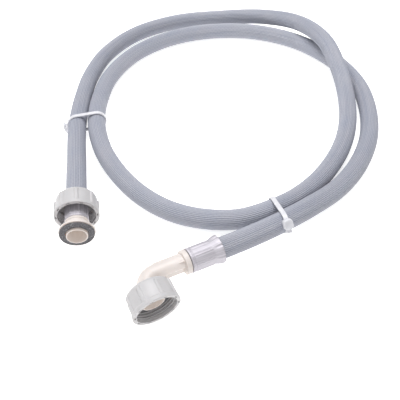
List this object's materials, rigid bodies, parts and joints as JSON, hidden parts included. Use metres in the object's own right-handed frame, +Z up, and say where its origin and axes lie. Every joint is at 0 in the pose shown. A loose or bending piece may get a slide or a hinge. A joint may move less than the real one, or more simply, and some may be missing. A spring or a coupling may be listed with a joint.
{
  "type": "braided supply line",
  "caption": "Coiled washing-machine supply line: a braided hose with straight and elbow union ends, tied by two cable ties.",
  "frame": {"origin": "on the floor that the coil lies on, under the middle of the two end fittings (hose and cable ties left out)", "axes": "+Z up from the floor; +X from the straight end towards the elbow end; +Y from the fittings towards the coil"},
  "size_m": [0.2591, 0.3541, 0.0301],
  "materials": {
    "sheath_pvc": "satin blue-grey PVC with fine lengthwise ribs",
    "braid_textile": "plain woven polyester braid",
    "liner_pvc": "smooth grey PVC",
    "tail_plastic": "satin off-white moulded plastic",
    "nut_plastic": "satin light warm grey moulded plastic",
    "washer_rubber": "matt black rubber",
    "crimp_aluminium": "bright crimped",
    "tie_nylon": "translucent white nylon"
  },
  "bodies": {
    "hose": {"hose_outer_sheath": "sheath_pvc", "hose_braid": "braid_textile", "hose_inner_tube": "liner_pvc", "straight_tail": "tail_plastic", "straight_ferrule": "crimp_aluminium", "straight_washer": "washer_rubber", "elbow_fitting": "tail_plastic", "elbow_ferrule": "crimp_aluminium", "elbow_washer": "washer_rubber", "cable_tie_left": "tie_nylon", "cable_tie_right": "tie_nylon"},
    "straight_union_nut": {"straight_nut": "nut_plastic"},
    "elbow_union_nut": {"elbow_nut": "nut_plastic"}
  },
  "joints": [
    {"name": "straight_nut_slide", "type": "slide", "parent": "hose", "child": "straight_union_nut", "axis": [0.1736, -0.9848, 0], "range_m": [-0.015, 0.024]},
    {"name": "elbow_nut_turn", "type": "hinge", "parent": "hose", "child": "elbow_union_nut", "pos_m": [0.014, -0.0341, 0.01532], "axis": [0.4515, -0.8861, -0.1045], "continuous": true}
  ]
}
